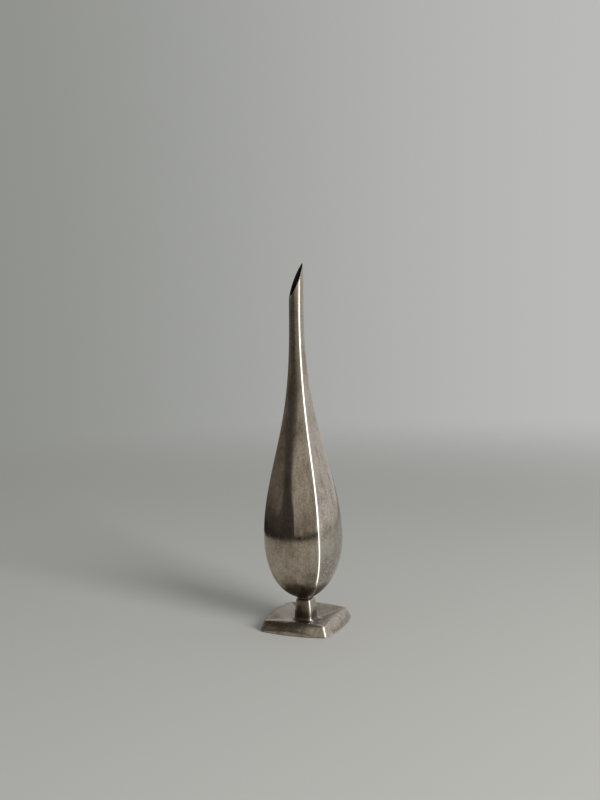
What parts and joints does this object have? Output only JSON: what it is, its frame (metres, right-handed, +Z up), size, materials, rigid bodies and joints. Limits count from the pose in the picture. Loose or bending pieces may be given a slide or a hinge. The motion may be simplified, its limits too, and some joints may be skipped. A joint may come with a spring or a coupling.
{
  "type": "bud vase",
  "caption": "Slender silver-plated bud vase: a ridged pear-shaped body with a long neck and slanted mouth, on a short square stem and dished square foot.",
  "frame": {"origin": "on the table, under the middle of the foot", "axes": "+Z up the vase; the four ridges point along the diagonals of X and Y, and the mouth slants up from (-X, -Y) to (+X, +Y)"},
  "size_m": [0.044, 0.044, 0.1999],
  "materials": {
    "silver_plate": "aged silver plate on struck brass, fine lengthwise scratches and tarnish",
    "cast_silver_plate": "aged silver plate on cast brass, tarnished in the hollows",
    "brass": "as turned",
    "solder": "dark oxidised solder",
    "steel": "zinc plated",
    "felt": "pressed wool felt"
  },
  "bodies": {
    "root": {"body_front_half": "silver_plate", "body_back_half": "silver_plate", "body_boss": "brass", "joint_ring": "solder", "cast_foot": "cast_silver_plate", "tie_stud": "steel", "stud_washer": "steel", "stud_nut": "steel", "felt_pad": "felt"}
  },
  "joints": []
}
